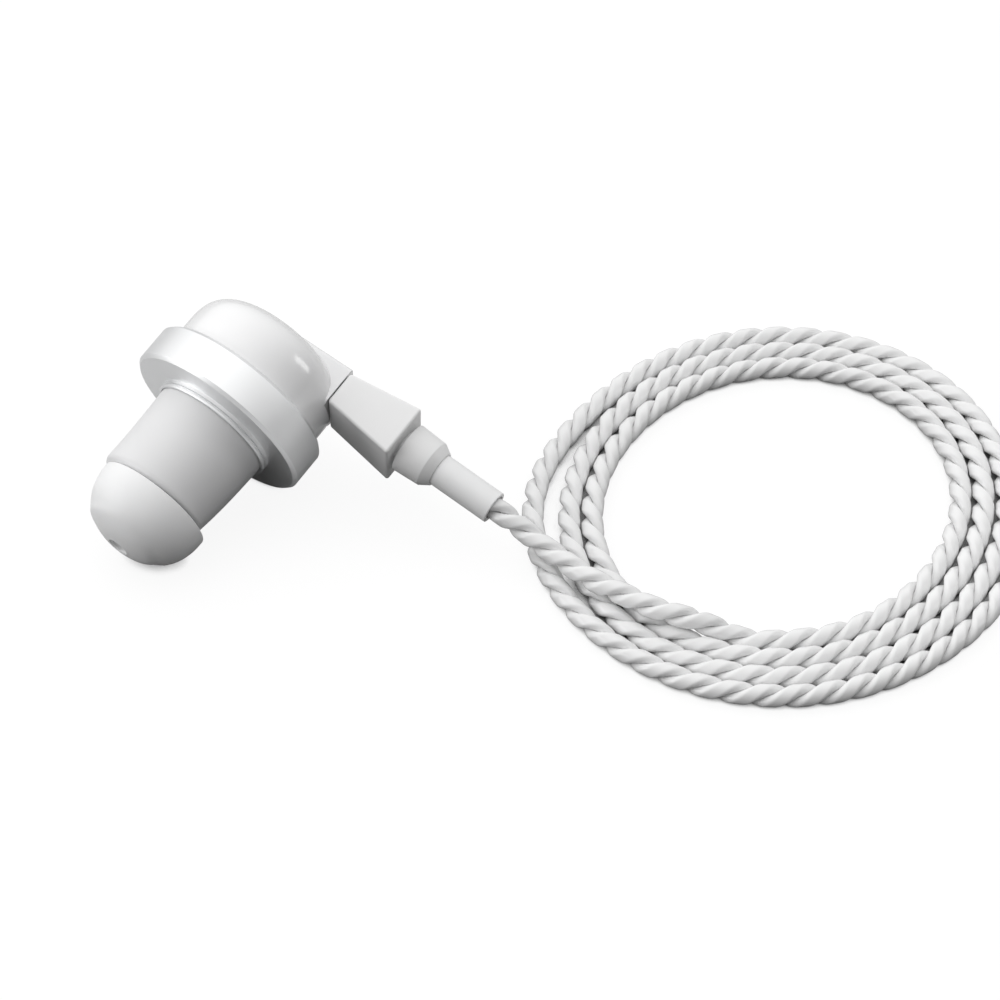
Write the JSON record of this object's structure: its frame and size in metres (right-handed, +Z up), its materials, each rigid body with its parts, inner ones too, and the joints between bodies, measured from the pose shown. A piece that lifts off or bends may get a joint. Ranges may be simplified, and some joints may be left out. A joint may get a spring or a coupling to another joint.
{
  "type": "wired earphones",
  "caption": "In-ear earphones with white shells, metal rings and silicone tips on detachable two-pin twisted leads, joined by a splitter to a main lead with a stereo jack plug.",
  "frame": {"origin": "on the resting surface, midway between the two earpieces", "axes": "+X from the left earpiece to the right one, +Y away from the viewer, +Z up from the surface"},
  "size_m": [0.1964, 0.0477, 0.0178],
  "materials": {
    "shell_gloss": "polished white moulding",
    "barrel_plastic": "smooth white moulding",
    "ring_aluminium": "satin turned metal with polished edges",
    "tip_silicone": "satin white silicone",
    "plug_plastic": "satin white moulding",
    "sleeve_plastic": "satin white flexible sleeve",
    "cord_jacket": "satin pale grey jacket, twisted strands",
    "insert_plastic": "matt grey insulator",
    "contact_gold": "gold-plated contact",
    "mesh_steel": "perforated mesh",
    "driver_steel": "plated steel",
    "magnet_alloy": "nickel-plated magnet",
    "diaphragm_film": "thin film",
    "coil_copper": "enamelled copper wire",
    "board_green": "glass-fibre circuit board",
    "wire_enamel": "insulated wire"
  },
  "bodies": {
    "root": {"left_plug_body": "plug_plastic", "left_plug_pins": "contact_gold", "left_plug_collar": "plug_plastic", "left_plug_sleeve": "sleeve_plastic", "left_ear_lead": "cord_jacket", "left_lead_coil": "cord_jacket", "left_lead_tail": "cord_jacket", "right_plug_body": "plug_plastic", "right_plug_pins": "contact_gold", "right_plug_collar": "plug_plastic", "right_plug_sleeve": "sleeve_plastic", "right_ear_lead": "cord_jacket", "right_lead_coil": "cord_jacket", "right_lead_tail": "cord_jacket", "splitter": "plug_plastic", "main_lead": "cord_jacket", "main_coil": "cord_jacket", "main_tail": "cord_jacket", "jack_relief": "sleeve_plastic", "jack_handle": "ring_aluminium", "jack_sleeve": "contact_gold", "jack_ring": "contact_gold", "jack_tip": "contact_gold", "jack_insulators": "insert_plastic"},
    "left_earpiece": {"left_back_shell": "shell_gloss", "left_socket_insert": "insert_plastic", "left_socket_contacts": "contact_gold", "left_ring": "ring_aluminium", "left_front_barrel": "barrel_plastic", "left_nozzle_mesh": "mesh_steel", "left_driver_basket": "driver_steel", "left_diaphragm": "diaphragm_film", "left_voice_coil": "coil_copper", "left_magnet": "magnet_alloy", "left_magnet_yoke": "driver_steel", "left_terminal_board": "board_green", "left_driver_wires": "wire_enamel"},
    "left_tip": {"left_ear_tip": "tip_silicone"},
    "right_earpiece": {"right_back_shell": "shell_gloss", "right_socket_insert": "insert_plastic", "right_socket_contacts": "contact_gold", "right_ring": "ring_aluminium", "right_front_barrel": "barrel_plastic", "right_nozzle_mesh": "mesh_steel", "right_driver_basket": "driver_steel", "right_diaphragm": "diaphragm_film", "right_voice_coil": "coil_copper", "right_magnet": "magnet_alloy", "right_magnet_yoke": "driver_steel", "right_terminal_board": "board_green", "right_driver_wires": "wire_enamel"},
    "right_tip": {"right_ear_tip": "tip_silicone"}
  },
  "joints": [
    {"name": "left_unplug", "type": "slide", "parent": "root", "child": "left_earpiece", "axis": [-0.8039, 0.5391, 0.2514], "range_m": [0, 0.006]},
    {"name": "left_tip_pull", "type": "slide", "parent": "left_earpiece", "child": "left_tip", "axis": [-0.5943, -0.7445, -0.304], "range_m": [0, 0.005]},
    {"name": "right_unplug", "type": "slide", "parent": "root", "child": "right_earpiece", "axis": [0.8039, 0.5391, 0.2514], "range_m": [0, 0.006]},
    {"name": "right_tip_pull", "type": "slide", "parent": "right_earpiece", "child": "right_tip", "axis": [0.5943, -0.7445, -0.304], "range_m": [0, 0.005]}
  ]
}
